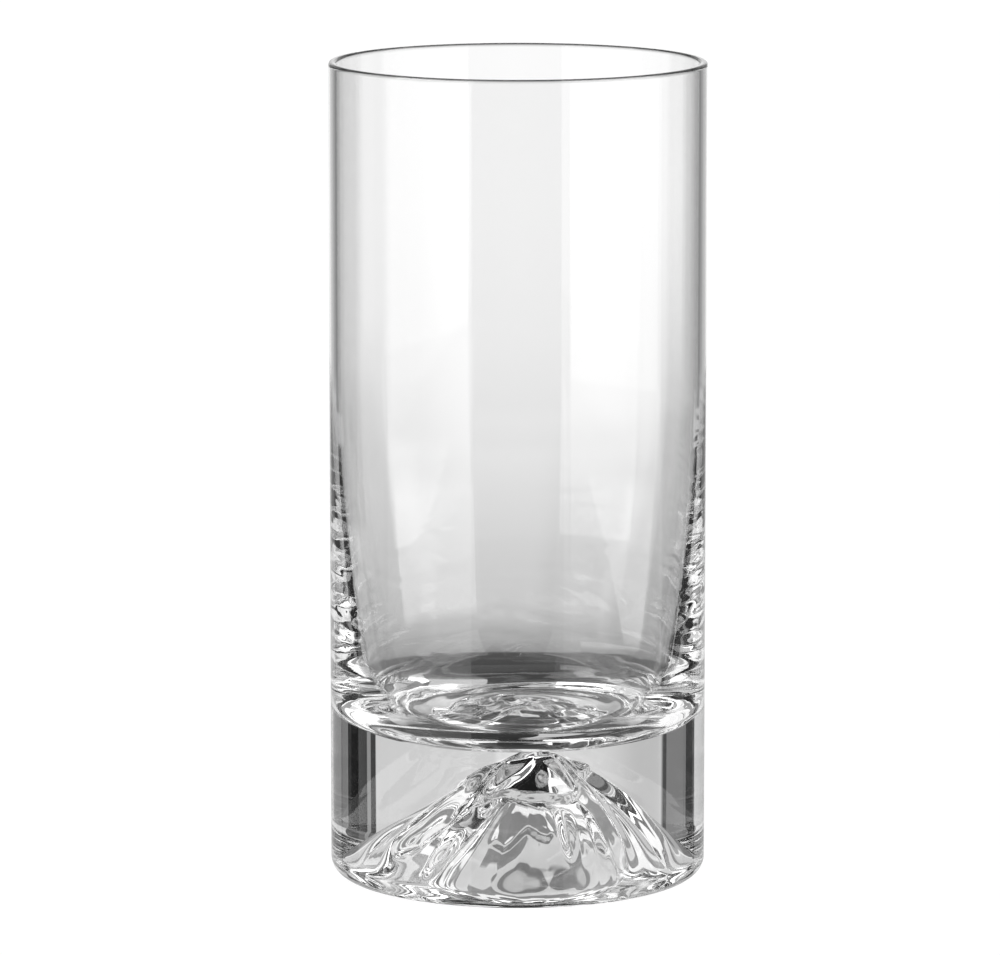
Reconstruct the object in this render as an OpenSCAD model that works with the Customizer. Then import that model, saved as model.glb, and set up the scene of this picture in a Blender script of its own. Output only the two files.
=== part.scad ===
// Highball glass: a straight clear wall over a thick base that stands on a
// foot ring, with a rocky peak pressed up into the base as an open hollow.
// Millimetres, +Z up, origin on the axis in the plane of the foot ring.

/* [Glass] */
// Height from the table to the top of the lip
glass_h = 152.5; // [130:0.5:180]
// Outside diameter, the same from the foot to the lip
glass_d = 70; // [65:0.5:80]

/* [Wall] */
// Thickness of the wall at the fire-polished lip
lip_t = 1.5; // [1:0.1:2.5]
// Thickness of the wall where it stands on the base
root_t = 5; // [3.5:0.1:7]
// Height where the wall starts to thicken on its way down
thicken_z = 98; // [80:1:120]
// Height of the joint between the wall and the base
seam_z = 44.4; // [42:0.2:50]

/* [Bowl floor] */
// Height of the lowest ring of the bowl floor
floor_z = 27.2; // [25:0.2:31]
// How far the middle of the floor rises above that ring
floor_rise = 2.3; // [0.5:0.1:3.5]
// Radius of the lowest ring of the floor
trough_r = 14; // [9:0.5:17]

/* [Foot] */
// Radius that rounds the outer edge of the foot
foot_round = 3.2; // [1.5:0.1:4.5]
// Radius of the mouth of the hollow, at the inner edge of the foot ring
mouth_r = 23.6; // [21:0.2:26]
// Small slope that breaks the edge between the foot ring and the hollow
mouth_edge = 0.6; // [0.3:0.1:1]

/* [Peak] */
// Glass left between the summit of the hollow and the bowl floor above it
over_peak = 3.7; // [2.5:0.1:8]
// How far the summit stands to the right of the axis
peak_x = 2; // [-3:0.1:3]

/* [Hidden] */
$fn = 96;

glass_r = glass_d / 2;
peak_h = floor_z + floor_rise - over_peak;
CLEAR = [0.86, 0.91, 0.92, 0.45];

// Steps along the curves of the outlines
ROUND_STEPS = 8;
WALL_STEPS = 18;
BOWL_STEPS = 12;
RISE_STEPS = 8;
// Rings and spokes of the peak
RINGS = 26;
SPOKES = 108;

// The wall thickens by this power of the way down, so it starts unseen
THICKEN_POWER = 2.2;
// How far the bowl corner's curve pulls down the wall and out along the floor
wall_pull_share = 0.64;
floor_pull_share = 0.8;

// Rock faces of the peak: the way each one looks in degrees, its height over
// the axis as a share of the peak, and its reach as a share of the mouth
face_shares = [
    [-100, 1.06, 1.22],
    [-50, 1.10, 1.10],
    [-10, 1.10, 1.05],
    [35, 1.08, 1.08],
    [80, 1.06, 1.16],
    [125, 1.08, 1.05],
    [165, 1.06, 1.16],
    [215, 1.08, 1.10]
];
// How softly one rock face turns into the next
soft_share = 0.02;
// Curve of the flank between the rock faces
FLANK_POWER = 1.5;
// How late on its way out the rock bends down to the edge of the mouth
MOUTH_POWER = 14;

// Ridges that run down the peak, and gullies where the rise is below zero: the
// bearing and how far it turns on the way down in degrees, where on the way it
// starts and ends, its rise as a share of the peak, half its width of the mouth
crease_shares = [
    [-36, 4, 0.06, 0.92, 0.058, 0.10],
    [-64, -2, 0.50, 0.84, -0.050, 0.064],
    [-50, -6, 0.46, 0.90, 0.019, 0.085],
    [-130, -10, 0.10, 0.56, 0.047, 0.085],
    [-144, -34, 0.40, 0.86, -0.062, 0.10],
    [-124, -24, 0.62, 0.92, -0.043, 0.076],
    [-160, -12, 0.14, 0.94, 0.050, 0.10],
    [-180, 8, 0.26, 0.95, -0.035, 0.11],
    [-14, 6, 0.20, 0.95, -0.035, 0.12],
    [4, -6, 0.16, 0.95, 0.043, 0.11],
    [24, 10, 0.28, 0.92, -0.035, 0.12],
    [47, -8, 0.08, 0.94, 0.054, 0.11],
    [70, 6, 0.30, 0.90, -0.043, 0.11],
    [92, 10, 0.12, 0.94, 0.050, 0.12],
    [112, -8, 0.34, 0.88, -0.039, 0.10],
    [136, 8, 0.10, 0.94, 0.054, 0.11],
    [158, -6, 0.30, 0.92, -0.035, 0.11]
];
// How much of the way a ridge or gully takes to rise from the rock at its ends
crease_end_share = 0.16;
// How sharp its crest is: 1 is a straight-sided tent
CREST_POWER = 1.2;

// Ledges across the faces: the bearings from and to, where on the way the edge
// is, and the rise of the block above the edge as a share of the peak
ledge_shares = [
    [-134, -42, 0.44, 0.058],
    [-30, 40, 0.30, 0.031],
    [60, 128, 0.52, 0.047],
    [150, 212, 0.36, 0.035]
];
// Where on the way the blocks start to rise, and how soon they drop at the edge
block_start_share = 0.1;
block_drop_share = 0.035;
// Degrees over which a block dies out at its two sides
BLOCK_SIDE = 8;

function wall_t(z) = lip_t + (root_t - lip_t)
    * pow(max(0, thicken_z - z) / (thicken_z - seam_z), THICKEN_POWER);

function bezier(a, b, c, d, s) = pow(1 - s, 3) * a + 3 * pow(1 - s, 2) * s * b
    + 3 * (1 - s) * s * s * c + pow(s, 3) * d;

// Outer edge of the foot, from the ring it stands on up to the straight side
function foot_curve() = [for (i = [0 : ROUND_STEPS])
    let (a = 90 * i / ROUND_STEPS)
    [glass_r - foot_round * (1 - sin(a)), foot_round * (1 - cos(a))]];

// Half round of the lip, from outside to inside
function lip_curve() = [for (i = [0 : ROUND_STEPS])
    let (a = 180 * i / ROUND_STEPS)
    [glass_r - lip_t / 2 * (1 - cos(a)), glass_h - lip_t / 2 * (1 - sin(a))]];

// Inside of the wall, from the thin part down to the seam
function wall_curve() = [for (i = [0 : WALL_STEPS])
    let (z = thicken_z - (thicken_z - seam_z) * i / WALL_STEPS)
    [glass_r - wall_t(z), z]];

// Bowl corner, from the seam, where it follows the wall, to the lowest ring
function corner_curve() =
    let (top = [glass_r - root_t, seam_z], low = [trough_r, floor_z],
        slope = THICKEN_POWER * (root_t - lip_t) / (thicken_z - seam_z),
        down = wall_pull_share * (seam_z - floor_z),
        out = floor_pull_share * (top[0] - low[0]))
    [for (i = [0 : BOWL_STEPS])
        bezier(top, top - down * [slope, 1], low + [out, 0], low, i / BOWL_STEPS)];

// Low dome in the middle of the floor, over the peak
function rise_curve() = [for (i = [1 : RISE_STEPS])
    let (s = 1 - i / RISE_STEPS)
    [trough_r * s, floor_z + floor_rise * (1 + cos(180 * s)) / 2]];

// Height of one rock face over a point of the plan
function face_h(f, p) = peak_h * f[1]
    * (1 - ((p[0] - peak_x) * cos(f[0]) + p[1] * sin(f[0])) / (mouth_r * f[2]));

// Lowest of a list of heights, with the change from one to the next rounded
function soft_min(list, k) =
    let (m = min(list))
    m - k * ln([for (v = list) exp((m - v) / k)] * [for (v = list) 1]);

// S curve from 0 at low to 1 at high, falling where high is the lower one
function fade(x, low, high) =
    let (t = min(1, max(0, (x - low) / (high - low))))
    t * t * (3 - 2 * t);

// Rise of one ridge or gully at angle a, a share of the way out
function crease_h(c, a, way) =
    let (off = a - c[0] - c[1] * (way - 1 / 2),
        side = cos(off) > 0 ? abs(sin(off)) * way : c[5],
        tent = pow(max(0, 1 - side / c[5]), CREST_POWER))
    peak_h * c[4] * tent * fade(way, c[2], c[2] + crease_end_share)
        * fade(way, c[3], c[3] - crease_end_share);

// Rise of the block above one ledge
function ledge_h(l, a, way) =
    let (middle = (l[0] + l[1]) / 2, half = (l[1] - l[0]) / 2,
        off = abs((a - middle + 540) % 360 - 180),
        ramp = min(1, max(0, (way - block_start_share) / (l[2] - block_start_share))))
    peak_h * l[3] * ramp * fade(way, l[2] + block_drop_share, l[2])
        * fade(off, half, half - BLOCK_SIDE);

function sum(list) = list * [for (v = list) 1];

// Height of the hollow over a point p of the plan at angle a, a share of the way out
function rock_h(p, a, way) =
    soft_min(concat([peak_h * (1 - pow(way, FLANK_POWER))],
        [for (f = face_shares) face_h(f, p)]), soft_share * peak_h)
    + sum([for (c = crease_shares) crease_h(c, a, way)])
    + sum([for (l = ledge_shares) ledge_h(l, a, way)]);

// Ring k of the peak: it starts at the summit and ends as a circle at the mouth
function ring(k) =
    let (way = k / RINGS, r = way * (mouth_r - mouth_edge), x = peak_x * (1 - way))
    [for (j = [0 : SPOKES - 1])
        let (a = 360 * j / SPOKES, p = [x + r * cos(a), r * sin(a)],
            rock = max(0, rock_h(p, a, way) - mouth_edge))
        [p[0], p[1], mouth_edge + (1 - pow(way, MOUTH_POWER)) * rock]];

// Circle just below the table, so that the hollow is open underneath
function mouth_ring() = [for (j = [0 : SPOKES - 1])
    let (a = 360 * j / SPOKES, r = mouth_r + mouth_edge)
    [r * cos(a), r * sin(a), -mouth_edge]];

// The rocky peak, as the solid that is pressed up into the base
module peak() {
    summit = [peak_x, 0, rock_h([peak_x, 0], 0, 0)];
    points = concat([summit], [for (k = [1 : RINGS]) each ring(k)], mouth_ring());
    at = function (k, j) 1 + (k - 1) * SPOKES + j % SPOKES;
    cap = [for (j = [0 : SPOKES - 1]) [0, at(1, j + 1), at(1, j)]];
    sides = [for (k = [1 : RINGS], j = [0 : SPOKES - 1]) each [
        [at(k, j), at(k, j + 1), at(k + 1, j + 1)],
        [at(k, j), at(k + 1, j + 1), at(k + 1, j)]]];
    under = [[for (j = [0 : SPOKES - 1]) at(RINGS + 1, j)]];
    polyhedron(points = points, faces = concat(cap, sides, under));
}

// Blown wall, drawn thin upwards and ended in a round fire-polished lip
module wall() {
    color(CLEAR)
        rotate_extrude()
            polygon(concat([[glass_r, seam_z]], lip_curve(), wall_curve()));
}

// Thick pressed base with the bowl floor above and the peak below
module base() {
    color(CLEAR)
        difference() {
            rotate_extrude()
                polygon(concat([[0, 0]], foot_curve(), [[glass_r, seam_z]],
                    corner_curve(), rise_curve()));
            peak();
        }
}

wall();
base();
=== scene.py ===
"""A highball glass with a rocky peak pressed up into its base, on a white table between two soft boxes."""
import math
import bpy
import numpy as np
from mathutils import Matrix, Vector


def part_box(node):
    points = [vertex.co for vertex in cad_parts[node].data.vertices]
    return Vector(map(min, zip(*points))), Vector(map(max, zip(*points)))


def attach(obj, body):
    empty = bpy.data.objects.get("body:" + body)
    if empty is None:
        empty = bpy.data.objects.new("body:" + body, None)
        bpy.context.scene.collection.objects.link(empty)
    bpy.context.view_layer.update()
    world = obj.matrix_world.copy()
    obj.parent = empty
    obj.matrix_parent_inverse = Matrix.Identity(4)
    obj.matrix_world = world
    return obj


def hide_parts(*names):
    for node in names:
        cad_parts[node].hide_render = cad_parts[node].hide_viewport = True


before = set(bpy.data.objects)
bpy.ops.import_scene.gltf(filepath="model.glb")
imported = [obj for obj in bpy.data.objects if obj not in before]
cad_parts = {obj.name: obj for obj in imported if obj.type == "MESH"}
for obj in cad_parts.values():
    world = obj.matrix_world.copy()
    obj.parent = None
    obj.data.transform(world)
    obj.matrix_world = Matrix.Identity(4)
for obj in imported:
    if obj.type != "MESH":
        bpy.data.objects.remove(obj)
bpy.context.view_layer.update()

# The glass.
# Wall, base and peak are one gather of clear soda-lime glass, pressed over a rocky plug that leaves the peak
# as an open hollow. The wall is drawn up thin from the thick base, and the lip is melted round in a flame.
MM = 0.001
glass_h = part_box("wall")[1][2] / MM
glass_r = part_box("wall")[1][0] / MM
seam_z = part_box("base")[1][2] / MM

lip_t = 1.5
lip_square = 0.72
lip_z = glass_h - lip_t / 2
root_t = 5.0
thicken_z = 98
thicken_power = 2.2
floor_z = 27.2
floor_rise = 2.3
trough_r = 14
wall_pull = 0.64
floor_pull = 0.8
foot_round = 3.2
mouth_r = 23.6
mouth_edge = 0.6
peak_h = 25.8
peak_x = 2.0
flank_power = 1.5
face_soft = 0.5

# Rings of the mesh. Two of them lie close to the lip and two to the foot's edge, so that the smooth shading
# of the round edges doesn't run on into the straight side
spokes = 300
peak_rings = 84
wall_rings = 84
corner_rings = 40
floor_rings = 26
foot_rings = 7
edge_rings = 10
lip_rings = 20
ring_near = 0.25
ring_far = 1
# Rings of the plain wall and of the thick wall: heights from and to, and how many
plain_wall = (140, 104, 4)
thick_wall = (103.3, seam_z, wall_rings)
side_split_z = 100
peak_crowding = 0.9
mouth_fade = 14
summit_lift = 0.02

# Rock faces: the way each one looks in degrees, its height over the axis and its reach as shares
rock_faces = [
    (-100, 1.06, 1.22), (-50, 1.10, 1.10), (-10, 1.10, 1.05), (35, 1.08, 1.08),
    (80, 1.06, 1.16), (125, 1.08, 1.05), (165, 1.06, 1.16), (215, 1.08, 1.10),
]
# Ridges and, with a height below zero, gullies that run down from the summit: bearing, how far it turns on
# the way down, shares of the way where it starts and ends, height and half width in mm
creases = [
    (-36, 4, 0.06, 0.92, 1.5, 2.4), (-64, -2, 0.50, 0.84, -1.3, 1.5),
    (-50, -6, 0.46, 0.90, 0.5, 2.0), (-130, -10, 0.10, 0.56, 1.2, 2.0),
    (-144, -34, 0.40, 0.86, -1.6, 2.4), (-124, -24, 0.62, 0.92, -1.1, 1.8),
    (-160, -12, 0.14, 0.94, 1.3, 2.4), (-180, 8, 0.26, 0.95, -0.9, 2.6),
    (-14, 6, 0.20, 0.95, -0.9, 2.8), (4, -6, 0.16, 0.95, 1.1, 2.6), (24, 10, 0.28, 0.92, -0.9, 2.8),
    (47, -8, 0.08, 0.94, 1.4, 2.6), (70, 6, 0.30, 0.90, -1.1, 2.6), (92, 10, 0.12, 0.94, 1.3, 2.8),
    (112, -8, 0.34, 0.88, -1.0, 2.4), (136, 8, 0.10, 0.94, 1.4, 2.6), (158, -6, 0.30, 0.92, -0.9, 2.6),
]
crease_sharpness = 1.2
crease_fade = 0.16
# Ledges that cross the faces: bearings from and to, share of the way, and rise of the block over it in mm
ledges = [(-134, -42, 0.44, 0.9), (-30, 40, 0.30, 0.8), (60, 128, 0.52, 1.2), (150, 212, 0.36, 0.9)]
# Shares of the way where a block starts to rise and over which its edge drops, the radians over which its
# ends fade, and the two waves of its edge
ledge_top = 0.1
ledge_drop = 0.02
ledge_end = 0.14
ledge_wave = 0.014
ledge_ripple = 0.009
# Low dents in the rock: their depth in mm, and the shares of the way where they come in and die out
dent_depth = 0.22
dents_in = (0.08, 0.3)
dents_out = (1, 0.85)


def smooth(x, low, high):
    """0 below low and 1 above high, with an S curve 3t^2 - 2t^3 between them."""
    t = np.clip((x - low) / (high - low), 0, 1)
    return t * t * (3 - 2 * t)


def waves(across, up, count, seed, across_range, up_range):
    """Sum of sines, each with a whole number of turns across, some radians a mm up and a phase of its own,
    divided so that the sum stays near -1 to 1."""
    draw = np.random.default_rng(seed)
    turns = draw.integers(across_range[0], across_range[1] + 1, count) * draw.choice([-1, 1], count)
    rise = draw.uniform(up_range[0], up_range[1], count)
    phase = draw.uniform(0, 2 * math.pi, count)
    total = sum(np.sin(t * across + r * up + p) for t, r, p in zip(turns, rise, phase))
    return total / math.sqrt(count)


def rock_height(x, y, way, angle):
    """Height of the peak over a point: the lowest of the rock faces and of a bowed flank h(1 - way^p),
    blended by a soft minimum -k ln(sum exp(-h / k)). Each ridge or gully adds a tent across its own line,
    each ledge adds a ramp down the way that drops at its edge, and low waves dent the faces."""
    heights = [peak_h * (1 - way ** flank_power)]
    for bearing, top, reach in rock_faces:
        a = math.radians(bearing)
        along = (x - peak_x) * math.cos(a) + y * math.sin(a)
        heights.append(peak_h * top * (1 - along / (mouth_r * reach)))
    stack = np.stack(heights)
    low = stack.min(axis=0)
    rock = low - face_soft * np.log(np.exp((low - stack) / face_soft).sum(axis=0))
    for bearing, lean, start, end, rise, half in creases:
        off = angle - math.radians(bearing) - math.radians(lean) * (way - 0.5)
        across = np.where(np.cos(off) > 0, np.abs(np.sin(off)) * mouth_r * way, half)
        tent = np.clip(1 - across / half, 0, 1) ** crease_sharpness
        length = smooth(way, start, start + crease_fade) * smooth(way, end, end - crease_fade)
        rock = rock + rise * tent * length
    for first, last, edge, rise in ledges:
        middle, half = math.radians((first + last) / 2), math.radians((last - first) / 2)
        off = np.abs((angle - middle + math.pi) % (2 * math.pi) - math.pi)
        bent = edge + ledge_wave * np.sin(5 * angle + 1) + ledge_ripple * np.sin(11 * angle)
        ramp = np.clip((way - ledge_top) / (edge - ledge_top), 0, 1) * smooth(way, bent + ledge_drop, bent)
        rock = rock + rise * ramp * smooth(off, half, half - ledge_end)
    dents = dent_depth * waves(angle, way * mouth_r, 9, 21, (2, 7), (0.25, 0.7))
    return rock + dents * smooth(way, *dents_in) * smooth(way, *dents_out)


def wall_thickness(z):
    """Lip thickness plus a power of the way down from where the wall starts to thicken."""
    down = np.clip((thicken_z - z) / (thicken_z - seam_z), 0, None)
    return lip_t + (root_t - lip_t) * down ** thicken_power


def inner_profile():
    """Radius and height down the inside: the wall, a cubic Bezier for the corner, and a low cosine dome."""
    near_lip = [lip_z, lip_z - ring_near, lip_z - ring_far]
    z = np.concatenate([near_lip, np.linspace(*plain_wall), np.linspace(*thick_wall)])
    wall = np.stack([glass_r - wall_thickness(z), z], axis=1)
    top = wall[-1]
    slope = (root_t - lip_t) * thicken_power / (thicken_z - seam_z)
    low = np.array([trough_r, floor_z])
    pull_down = top - np.array([slope, 1]) * wall_pull * (seam_z - floor_z)
    pull_out = low + np.array([floor_pull * (top[0] - trough_r), 0])
    t = np.linspace(0, 1, corner_rings + 1)[1:, None]
    corner = (1 - t) ** 3 * top + 3 * (1 - t) ** 2 * t * pull_down
    corner = corner + 3 * (1 - t) * t ** 2 * pull_out + t ** 3 * low
    r = trough_r * (1 - np.linspace(0, 1, floor_rings + 1)[1:-1])
    dome = np.stack([r, floor_z + floor_rise * (1 + np.cos(math.pi * r / trough_r)) / 2], axis=1)
    return np.concatenate([wall, corner, dome])


def outer_profile():
    """Radius and height up the outside: the flat foot ring, its rounded edge, the straight side and the lip,
    a half circle that is squared a little as cos^p and sin^p."""
    ring_r = np.linspace(mouth_r + mouth_edge, glass_r - foot_round, foot_rings)
    ring = np.stack([ring_r, np.zeros(foot_rings)], axis=1)
    a = np.linspace(0, math.pi / 2, edge_rings + 1)[1:, None]
    edge = np.hstack([glass_r - foot_round * (1 - np.sin(a)), foot_round * (1 - np.cos(a))])
    low_z = [foot_round + ring_near, foot_round + ring_far, seam_z / 2, seam_z]
    z = np.array([*low_z, side_split_z, lip_z - ring_far, lip_z - ring_near, lip_z])
    side = np.stack([np.full_like(z, glass_r), z], axis=1)
    a = np.linspace(0, math.pi, lip_rings + 1)[1:-1, None]
    across = np.sign(np.cos(a)) * np.abs(np.cos(a)) ** lip_square
    up = np.sin(a) ** lip_square
    lip = np.hstack([glass_r - lip_t / 2 * (1 - across), glass_h - lip_t / 2 * (1 - up)])
    return np.concatenate([ring, edge, side, lip])


def profile_normals(points):
    """Unit normals of a profile that point from the glass into the bowl: chords turned a quarter turn."""
    step = np.gradient(points, axis=0)
    turned = np.stack([step[:, 1], -step[:, 0]], axis=1)
    return turned / np.linalg.norm(turned, axis=1, keepdims=True)


# Chill folds: sizes in mm, how much their phase wanders, the heights where they start and are full, and the
# distances from the axis over which they die out on the floor
fold_spacing = 4.4
fold_depth = 0.04
fold_bend = 1.1
fold_wander = 0.7
folds_up_wall = (80, 50)
folds_on_floor = (10, 22)


def chill(angle, height):
    """Depth in mm of the chill folds on the inside, where the hot glass met the cooler plunger: nearly level
    ridges (1 - |sin|)^4 of bent level lines, in patches, and deepest near the base."""
    bent = height + fold_bend * waves(angle, height, 6, 3, (1, 5), (0.02, 0.12))
    shift = fold_wander * waves(angle, height, 5, 5, (2, 9), (0.1, 0.4))
    folds = 1 - np.abs(np.sin(bent * math.pi / fold_spacing + shift))
    patch = smooth(waves(angle, height, 7, 11, (2, 7), (0.1, 0.5)), 0.1, 1.0)
    return smooth(height, *folds_up_wall) * fold_depth * folds ** 4 * patch


# Ovals on the bowl floor: sizes in mm, and the distances from their middle and the heights where they fade
ripple_spacing = 4.3
ripple_depth = 0.13
ripple_x = 4
ripple_stretch = 1.15
ripple_bend = 0.35
ripple_twist = 0.25
ripple_in = (0, 1.5)
ripple_out = (25, 16)
ripple_up_wall = (34, 29)


def floor_ripple(x, y):
    """Depth in mm of the nested ovals that the plunger leaves on the floor: a cosine of the distance from a
    point beside the axis, bent a little, and fading out towards the corner."""
    away = np.hypot((x - ripple_x) / ripple_stretch, y)
    turn = np.arctan2(y, x - ripple_x)
    bent = away + ripple_bend * np.sin(2 * turn + 1) + ripple_twist * np.sin(3 * turn + 0.4 * away)
    ovals = ripple_depth * np.cos(2 * math.pi * bent / ripple_spacing)
    return ovals * smooth(away, *ripple_out) * smooth(away, *ripple_in)


def glass_mesh():
    """Rings from the summit of the hollow, out over its flanks, the foot, the side and the lip, and down the
    inside to the middle of the bowl floor. The first and the last ring close on one point each. The peak
    fades into a level ring at the foot as 1 - way^n, and the marks push the inside along its normal."""
    angle = np.linspace(0, 2 * math.pi, spokes, endpoint=False)
    way = np.linspace(0, 1, peak_rings + 1)[1:, None] ** peak_crowding
    r = way * (mouth_r - mouth_edge)
    x = peak_x * (1 - way) + r * np.cos(angle)
    y = r * np.sin(angle)
    rock = np.maximum(rock_height(x, y, way + 0 * x, angle + 0 * x) - mouth_edge, 0)
    peak = np.stack([x, y, mouth_edge + (1 - way ** mouth_fade) * rock], axis=-1)

    outer = outer_profile()
    inner = inner_profile()
    normal = profile_normals(inner)
    height = inner[:, 1:] + 0 * angle
    run = np.concatenate([[0], np.cumsum(np.linalg.norm(np.diff(inner, axis=0), axis=1))])[:, None]
    run = lip_z - run + 0 * angle
    depth = chill(angle[None] + 0 * height, run) * smooth(inner[:, :1], *folds_on_floor)
    ovals = floor_ripple(inner[:, :1] * np.cos(angle), inner[:, :1] * np.sin(angle))
    depth = depth + ovals * smooth(height, *ripple_up_wall)
    ring_r = inner[:, :1] + normal[:, :1] * depth
    ring_z = height + normal[:, 1:] * depth
    inside = np.stack([ring_r * np.cos(angle), ring_r * np.sin(angle), ring_z], axis=-1)
    side_x = outer[:, :1] * np.cos(angle)
    side_y = outer[:, :1] * np.sin(angle)
    outside = np.stack([side_x, side_y, outer[:, 1:] + 0 * angle], axis=-1)

    rings = np.concatenate([peak, outside, inside])
    summit = [peak_x, 0, float(peak[0, :, 2].mean()) + summit_lift]
    middle = [0, 0, floor_z + floor_rise + float(inside[-1, :, 2].mean() - inner[-1, 1])]
    points = np.concatenate([[summit], rings.reshape(-1, 3), [middle]]) * MM
    k = np.arange(len(rings) - 1)[:, None]
    j = np.arange(spokes)[None]
    here = 1 + k * spokes + j
    there = 1 + k * spokes + (j + 1) % spokes
    quads = np.stack([here, here + spokes, there + spokes, there], axis=-1).reshape(-1, 4)
    j = np.arange(spokes)
    last = 1 + (len(rings) - 1) * spokes
    cap = np.stack([0 * j, 1 + j, 1 + (j + 1) % spokes], axis=-1)
    dish = np.stack([last + j, 0 * j + len(points) - 1, last + (j + 1) % spokes], axis=-1)
    mesh = bpy.data.meshes.new("glass")
    faces = [face for part in (cap, quads, dish) for face in part[:, ::-1].tolist()]
    mesh.from_pydata(points.tolist(), [], faces)
    mesh.polygons.foreach_set("use_smooth", np.ones(len(mesh.polygons), dtype=bool))
    inner_share = np.zeros(len(points), dtype=np.float32)
    inner_share[1 + (len(peak) + len(outer)) * spokes:] = 1
    mark = mesh.attributes.new("inside", "FLOAT", "POINT")
    mark.data.foreach_set("value", inner_share)
    mesh.update()
    return mesh


def hex_colour(code):
    """Linear colour of an sRGB hex code."""
    channels = np.array([int(code[i:i + 2], 16) for i in (0, 2, 4)]) / 255
    bright = np.where(channels <= 0.04045, channels / 12.92, ((channels + 0.055) / 1.055) ** 2.4)
    return (*bright, 1)


def add_node(tree, kind, inputs=None, output=0, **attributes):
    """Adds a node of that kind with its attributes, and returns one of its outputs. Each input is a plain
    value or the output of another node."""
    node = tree.nodes.new(kind)
    for name, value in attributes.items():
        setattr(node, name, value)
    for socket, value in (inputs or {}).items():
        if isinstance(value, bpy.types.NodeSocket):
            tree.links.new(value, node.inputs[socket])
        else:
            node.inputs[socket].default_value = value
    return node.outputs[output] if node.outputs else node


# Chill steps, in mm. Two noises bend them and break them up, with so many features a mm along X, Y and Z and
# so much detail
step_spacing = 2.9
step_depth = 0.022
step_bend = 3.0
bend_noise = ((0.06, 0.05, 0.06), 1.0)
patch_noise = ((0.07, 0.07, 0.20), 0.0)


def soda_lime_glass():
    """Clear pressed soda-lime glass: colourless, index 1.52 and smooth as melted. Inside, the chill left
    small steps that look like feathers: each is a saw tooth of the height, bent by one noise and broken
    into patches by another. They are deeper towards the base and on the two sides where the plunger was
    coolest."""
    material = bpy.data.materials.new("soda_lime_glass")
    material.use_nodes = True
    tree = material.node_tree
    place = add_node(tree, "ShaderNodeTexCoord", output="Object")
    spot = add_node(tree, "ShaderNodeVectorMath", {0: place, "Scale": 1 / MM}, operation="SCALE")
    across, along, up = add_node(tree, "ShaderNodeSeparateXYZ", {0: spot}).node.outputs
    clouds = []
    for scales, detail in (bend_noise, patch_noise):
        scaled = add_node(tree, "ShaderNodeVectorMath", {0: spot, 1: scales}, operation="MULTIPLY")
        noise = {"Vector": scaled, "Scale": 1, "Detail": detail, "Roughness": 0.55}
        clouds.append(add_node(tree, "ShaderNodeTexNoise", noise, output="Fac"))
    bend, patch = clouds
    level = add_node(tree, "ShaderNodeMath", {0: up, 1: 1 / step_spacing}, operation="MULTIPLY")
    bent = add_node(tree, "ShaderNodeMath", {0: bend, 1: step_bend, 2: level}, operation="MULTIPLY_ADD")
    tooth = add_node(tree, "ShaderNodeMath", {0: bent}, operation="FRACT")
    beside = add_node(tree, "ShaderNodeMath", {0: along}, operation="ABSOLUTE")
    # What each share of the depth follows, from where to where in mm or as a share, and its two ends
    shares = [
        (tooth, 0, 0.62, 0, 1), (tooth, 0.62, 0.97, 1, 0), (up, 104, 58, 0, 1),
        (beside, 9, 15, 1, 0.04), (across, -20, 20, 0.22, 1), (patch, 0.40, 0.58, 0, 1),
    ]
    height = add_node(tree, "ShaderNodeAttribute", output="Fac", attribute_name="inside")
    for source, start, end, first, last in shares:
        share = add_node(tree, "ShaderNodeMapRange", {0: source, 1: start, 2: end, 3: first, 4: last},
                         interpolation_type="SMOOTHSTEP")
        height = add_node(tree, "ShaderNodeMath", {0: height, 1: share}, operation="MULTIPLY")
    folds = {"Height": height, "Strength": 1, "Distance": step_depth * MM}
    shader = tree.nodes["Principled BSDF"]
    shader.inputs["Base Color"].default_value = hex_colour("ffffff")
    shader.inputs["Transmission Weight"].default_value = 1
    shader.inputs["Roughness"].default_value = 0
    shader.inputs["IOR"].default_value = 1.52
    tree.links.new(add_node(tree, "ShaderNodeBump", folds), shader.inputs["Normal"])
    return material


glass = bpy.data.objects.new("glass", glass_mesh())
bpy.context.scene.collection.objects.link(glass)
glass.data.materials.append(soda_lime_glass())
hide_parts("wall", "base")
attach(glass, "root")

# The table.
# A sheet of white laminate, lit through like a product table. It is white for the camera apart from the soft
# shadow at the foot, and light that the glass bends or mirrors goes through it to the studio below.
table_half = 3.0
table_drop = 0.05
table_glow = 1.09
glow_share = 0.9


def table_laminate():
    """White laminate: matt, with a glow of its own that leaves only a faint shadow under the glass."""
    material = bpy.data.materials.new("white_laminate")
    material.use_nodes = True
    tree = material.node_tree
    tree.nodes.clear()
    matt = add_node(tree, "ShaderNodeBsdfDiffuse", {"Color": hex_colour("ffffff")})
    glow = add_node(tree, "ShaderNodeEmission", {"Color": hex_colour("ffffff"), "Strength": table_glow})
    white = add_node(tree, "ShaderNodeMixShader", {0: glow_share, 1: matt, 2: glow})
    through = add_node(tree, "ShaderNodeBsdfTransparent")
    bent = add_node(tree, "ShaderNodeLightPath", output="Is Transmission Ray")
    mirrored = bent.node.outputs["Is Glossy Ray"]
    either = add_node(tree, "ShaderNodeMath", {0: bent, 1: mirrored}, operation="MAXIMUM")
    seen = add_node(tree, "ShaderNodeMixShader", {0: either, 1: white, 2: through})
    add_node(tree, "ShaderNodeOutputMaterial", {"Surface": seen})
    return material


table_mesh = bpy.data.meshes.new("table")
corners = np.array([(-1, -1), (1, -1), (1, 1), (-1, 1)]) * table_half
table_mesh.from_pydata([(x, y, -table_drop * MM) for x, y in corners], [], [(0, 1, 2, 3)])
table = bpy.data.objects.new("table", table_mesh)
bpy.context.scene.collection.objects.link(table)
table.data.materials.append(table_laminate())

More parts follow.
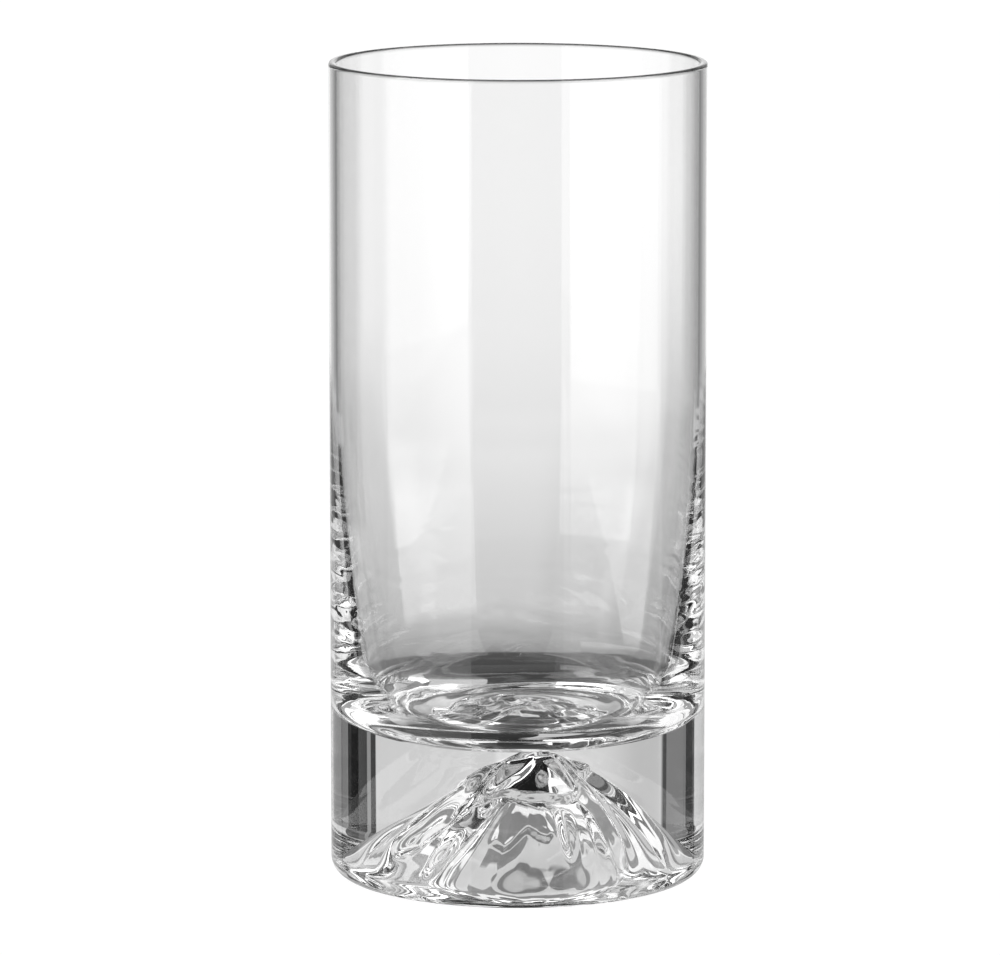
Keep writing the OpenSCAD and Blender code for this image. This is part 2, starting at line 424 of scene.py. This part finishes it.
# The studio.
# A white sweep behind, a soft box on each side, grey and black flags beside the sweep, and the dark room
# behind the camera. Clear glass shows nothing but these, so each is a patch of the sky with soft edges.

# Brightness of the sweep and the table by degrees above the horizon
sweep = [
    (-90, 0.03), (-45, 0.07), (-34, 0.09), (-33, 0.30), (-25, 0.46), (-21.7, 0.55), (-19, 0.65),
    (-17, 0.70), (-15.2, 0.75), (-13.4, 0.80), (-11.8, 0.86), (-10.4, 0.91), (-9, 0.95), (-7, 1.03),
    (-5, 1.055), (10, 1.0), (12, 0.60), (20, 0.48), (20.6, 0.20), (24, 0.22), (24.6, 0.64),
    (31, 0.72), (31.6, 0.28), (38, 0.26), (38.8, 1.05), (44, 1.05), (44.6, 0.13), (49, 0.12),
    (49.8, 2.3), (53, 2.3), (54, 0.01), (90, 0.01),
]
# Panels in the order they are laid: what each one does, bearings from and to in degrees clockwise from
# behind the glass, lowest and highest angle, its brightness or the share of light that it leaves, the width
# of its soft edge along and up, and how far it climbs for each degree of bearing
panels = [
    # The sweep falls off to both sides
    ("dim", -20, -1.6, -13.5, 9, 0.90, 1.6, 3, 0), ("dim", -20, -1.6, -40, -13.5, 0.96, 1.6, 3, 0),
    ("dim", -20, -4.2, -40, -9.3, 0.90, 2, 2.5, 0),
    ("dim", 2.6, 20, -40, 9, 0.97, 1.6, 2, 0), ("dim", 4.4, 20, -40, -7.6, 0.86, 2, 2, 0),
    ("dim", 4.4, 20, -40, -10.5, 0.93, 2, 1.5, 0), ("dim", 0.9, 3.6, -40, -11, 0.92, 1, 3, 0),
    # Grey wings on each side of the sweep, and below them the table seen through the solid base
    ("lay", 13, 40, -10.3, 9, 0.42, 6, 1.5, 0), ("lay", -40, -16, -10.3, 9, 0.42, 6, 1.5, 0),
    ("lay", 11, 40, -20, -10.3, 0.62, 4, 1.5, 0), ("lay", -40, -11, -20, -10.3, 0.66, 4, 1.5, 0),
    ("lay", -42, -24, -20, -10.3, 0.50, 14, 1.5, 0),
    # Dark strips on both sides of the sweep, black low down, which draw the dark line of the bore
    ("lay", 27, 40, -11.3, 9, 0.20, 2, 0.5, 0), ("lay", -40, -27, -11.3, 9, 0.20, 2, 0.5, 0),
    ("lay", 28, 40, -60, -13.4, 0.02, 2, 0.5, 0), ("lay", -40, -28, -60, -13.4, 0.02, 2, 0.5, 0),
    # Flags on the left: dark ones beside the sweep, and pale grey ones beside the soft box
    ("lay", -55, -39.5, -20, 12, 0.21, 0.8, 1.5, 0), ("lay", -42, -40.2, -20, 12, 0.06, 0.4, 1.5, 0),
    ("lay", -64.5, -55, -20, 12, 0.05, 0.8, 1.5, 0),
    ("lay", -94, -64.5, -30, -5, 0.70, 0.8, 1, 0), ("lay", -94, -64.5, -9.6, -5, 0.62, 0.8, 1, 0),
    ("lay", -94, -90, -11, -5, 0.50, 2, 1, 0),
    # Black flags on the right, with a gap between them
    ("lay", 38.5, 57, -60, 12, 0.006, 0.6, 1.5, 0), ("lay", 38.5, 57, -10.8, 12, 0.102, 0.6, 1.5, 0),
    ("lay", 41, 43, -60, 12, 0.25, 0.3, 1.5, 0),
    ("lay", 57, 82.7, -60, 12, 0.20, 0.8, 1.5, 0), ("lay", 57, 82.7, -8.4, 12, 0.75, 0.8, 1.5, 0),
    # Dark room behind the camera
    ("lay", 147, 209, -13.5, 56, 0.021, 0.8, 1.5, 0),
    # Right soft box: brightest low down, where only the inside of the wall mirrors it
    ("lay", 82.7, 147.5, -32, 50, 2.0, 0.5, 2, 0), ("lay", 82.7, 108, -32, -9, 2.7, 8, 2, 0),
    ("lay", 82, 152, -84, -24, 0.6, 0.5, 1.0, 0.45), ("lay", 82.7, 147.5, -16.5, 50, 0.92, 0.5, 2.6, 0),
    ("lay", 82.7, 147.5, -12.6, 50, 0.90, 0.5, 2.6, 0), ("lay", 82.7, 147.5, -9, 50, 1.5, 0.5, 0.4, 0.015),
    # Left soft box
    ("lay", -151.5, -94, -30, 50, 2.5, 0.5, 2, 0), ("lay", -151.5, -94, -16.5, 50, 1.2, 0.5, 2.6, 0),
    ("lay", -151.5, -94, -12.6, 50, 0.80, 0.5, 2.6, 0),
    ("lay", -151.5, -94, -8.45, 50, 1.12, 0.5, 0.3, -0.023),
    # The room at eye level beside the glass: pale near the middle of each side, grey further back
    ("lay", -112, -64.5, -5, 12, 0.90, 5, 1, 0), ("lay", -152, -112, -5, 12, 0.40, 5, 1, 0),
    ("lay", 68, 112, -5, 12, 0.90, 5, 1, 0), ("lay", 112, 152, -5, 12, 0.40, 5, 1, 0),
]


def studio_sky():
    """The studio as the world's background. Bearing is atan2(x, y) and angle is asin(z) of the direction.
    The camera itself sees plain white, at a strength of 1. What the glass bends or mirrors sees the white
    sweep and the panels, since clear glass in even white would have no drawing at all."""
    world = bpy.data.worlds.new("studio")
    world.use_nodes = True
    tree = world.node_tree
    tree.nodes.clear()

    way = add_node(tree, "ShaderNodeTexCoord", output="Generated")
    east, north, up = add_node(tree, "ShaderNodeSeparateXYZ", {0: way}).node.outputs
    bearing = add_node(tree, "ShaderNodeMath", {0: east, 1: north}, operation="ARCTAN2")
    bearing = add_node(tree, "ShaderNodeMath", {0: bearing, 1: 180 / math.pi}, operation="MULTIPLY")
    angle = add_node(tree, "ShaderNodeMath", {0: up}, operation="ARCSINE")
    angle = add_node(tree, "ShaderNodeMath", {0: angle, 1: 180 / math.pi}, operation="MULTIPLY")

    place = add_node(tree, "ShaderNodeMath", {0: angle, 1: 1 / 180, 2: 0.5}, operation="MULTIPLY_ADD")
    tone = add_node(tree, "ShaderNodeValToRGB", {0: place})
    stops = tone.node.color_ramp.elements
    brightest = max(value for _, value in sweep)
    while len(stops) < len(sweep):
        stops.new(0.5)
    # Places first and colours after, so that a stop still gets its own colour if the order changes
    for stop, (degrees, value) in zip(stops, sweep):
        stop.position = (degrees + 90) / 180
    for stop, (degrees, value) in zip(stops, sweep):
        stop.color = (value / brightest,) * 3 + (1,)
    tone = add_node(tree, "ShaderNodeVectorMath", {0: tone, "Scale": brightest}, operation="SCALE")

    # Each panel covers what lies between its two bearings and its two angles, over soft edges. A panel that
    # climbs does so about its middle
    for task, left, right, low, high, value, soft_across, soft_up, climb in panels:
        off = add_node(tree, "ShaderNodeMath", {0: bearing, 1: (left + right) / 2}, operation="SUBTRACT")
        across = add_node(tree, "ShaderNodeMath", {0: off, 1: 180, 2: -180}, operation="WRAP")
        over = add_node(tree, "ShaderNodeMath", {0: angle, 1: (low + high) / 2}, operation="SUBTRACT")
        if climb:
            climbed = {0: across, 1: -climb, 2: over}
            over = add_node(tree, "ShaderNodeMath", climbed, operation="MULTIPLY_ADD")
        covers = []
        for from_middle, size, soft in ((across, right - left, soft_across), (over, high - low, soft_up)):
            away = add_node(tree, "ShaderNodeMath", {0: from_middle}, operation="ABSOLUTE")
            edge = {0: away, 1: (size - soft) / 2, 2: (size + soft) / 2, 3: 1, 4: 0}
            covers.append(add_node(tree, "ShaderNodeMapRange", edge, interpolation_type="SMOOTHSTEP"))
        covered = add_node(tree, "ShaderNodeMath", {0: covers[0], 1: covers[1]}, operation="MULTIPLY")
        if task == "dim":
            left_over = {0: covered, 1: value - 1, 2: 1}
            share = add_node(tree, "ShaderNodeMath", left_over, operation="MULTIPLY_ADD")
            tone = add_node(tree, "ShaderNodeVectorMath", {0: tone, "Scale": share}, operation="SCALE")
        else:
            panel = {0: covered, 6: tone, 7: (value, value, value, 1)}
            tone = add_node(tree, "ShaderNodeMix", panel, output=2, data_type="RGBA")

    camera_ray = add_node(tree, "ShaderNodeLightPath", output="Is Camera Ray")
    shown = {0: camera_ray, 6: tone, 7: (1, 1, 1, 1)}
    shown = add_node(tree, "ShaderNodeMix", shown, output=2, data_type="RGBA")
    sky = add_node(tree, "ShaderNodeBackground", {0: shown, 1: 1})
    add_node(tree, "ShaderNodeOutputWorld", {0: sky})
    return world


bpy.context.scene.world = studio_sky()

# The camera.
# A short telephoto a good arm's length away and a little above the glass, turned down to look at its middle.
# The picture is taken as 1000 by 955 pixels.
camera_back = 1.2
camera_up = 0.272525
tilt = math.radians(9.363)
turn = math.radians(0.158)
focal_px = 6529.9
picture_px = 1000
sensor_mm = 36

lens = bpy.data.cameras.new("camera")
lens.sensor_width = sensor_mm
lens.lens = focal_px / picture_px * sensor_mm
lens.clip_start = 0.01
lens.clip_end = 100
camera = bpy.data.objects.new("camera", lens)
bpy.context.scene.collection.objects.link(camera)
camera.location = (0, -camera_back, camera_up)
look = Vector((-math.sin(turn) * math.cos(tilt), math.cos(turn) * math.cos(tilt), -math.sin(tilt)))
camera.rotation_euler = look.to_track_quat("-Z", "Y").to_euler()
bpy.context.scene.camera = camera

scene = bpy.context.scene
scene.view_settings.view_transform = "Standard"
scene.cycles.max_bounces = 24
scene.cycles.transmission_bounces = 24
scene.cycles.glossy_bounces = 24
scene.cycles.transparent_max_bounces = 24
